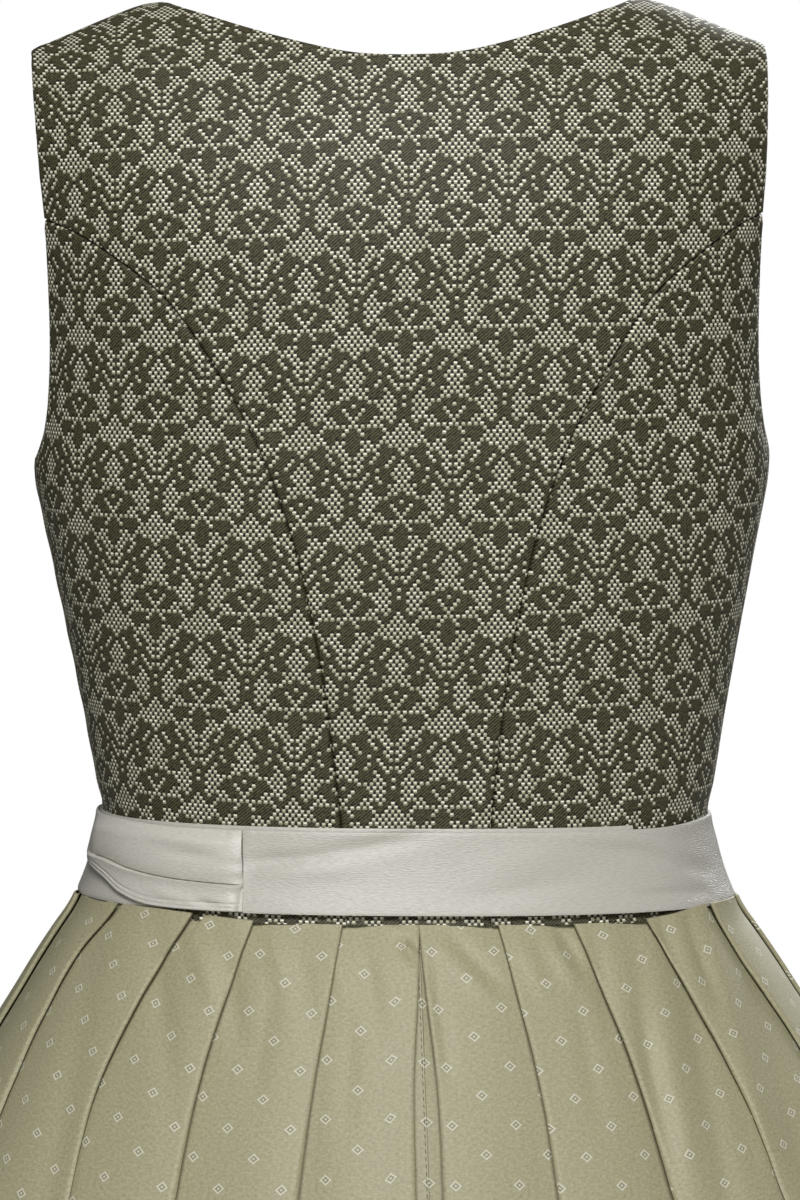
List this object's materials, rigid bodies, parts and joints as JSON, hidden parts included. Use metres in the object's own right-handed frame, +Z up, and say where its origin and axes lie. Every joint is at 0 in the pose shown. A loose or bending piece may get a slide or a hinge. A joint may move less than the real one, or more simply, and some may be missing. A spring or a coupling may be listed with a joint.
{
  "type": "dirndl dress",
  "caption": "Sleeveless dirndl dress with a fitted panelled bodice, a knife-pleated midi skirt and a satin apron tied with a bow.",
  "frame": {"origin": "point over the middle of the body, level with the neck ends of the two shoulder seams, where the wearer's shoulders carry the dress", "axes": "+Z up, -Y towards the front of the dress, +X towards the wearer's left"},
  "size_m": [0.7862, 0.709, 1.046],
  "materials": {
    "jacquard": "olive and pale green cotton jacquard",
    "skirt_cotton": "sage cotton sateen with small woven diamonds",
    "satin": "silver-grey satin",
    "pewter": "dull pewter"
  },
  "bodies": {
    "root": {"bodice_back_centre": "jacquard", "bodice_back_side_left": "jacquard", "bodice_back_side_right": "jacquard", "bodice_front_side_left": "jacquard", "bodice_front_side_right": "jacquard", "bodice_front_left": "jacquard", "bodice_front_right": "jacquard", "skirt_back_left": "skirt_cotton", "skirt_back_right": "skirt_cotton", "skirt_front": "skirt_cotton", "apron": "satin", "apron_waistband": "satin", "apron_tie": "satin", "bow_knot": "satin", "bow_loop_left": "satin", "bow_loop_right": "satin", "bow_tail_left": "satin", "bow_tail_right": "satin", "button_1": "pewter", "button_2": "pewter", "button_3": "pewter", "button_4": "pewter", "button_5": "pewter", "button_6": "pewter", "button_7": "pewter"}
  },
  "joints": []
}
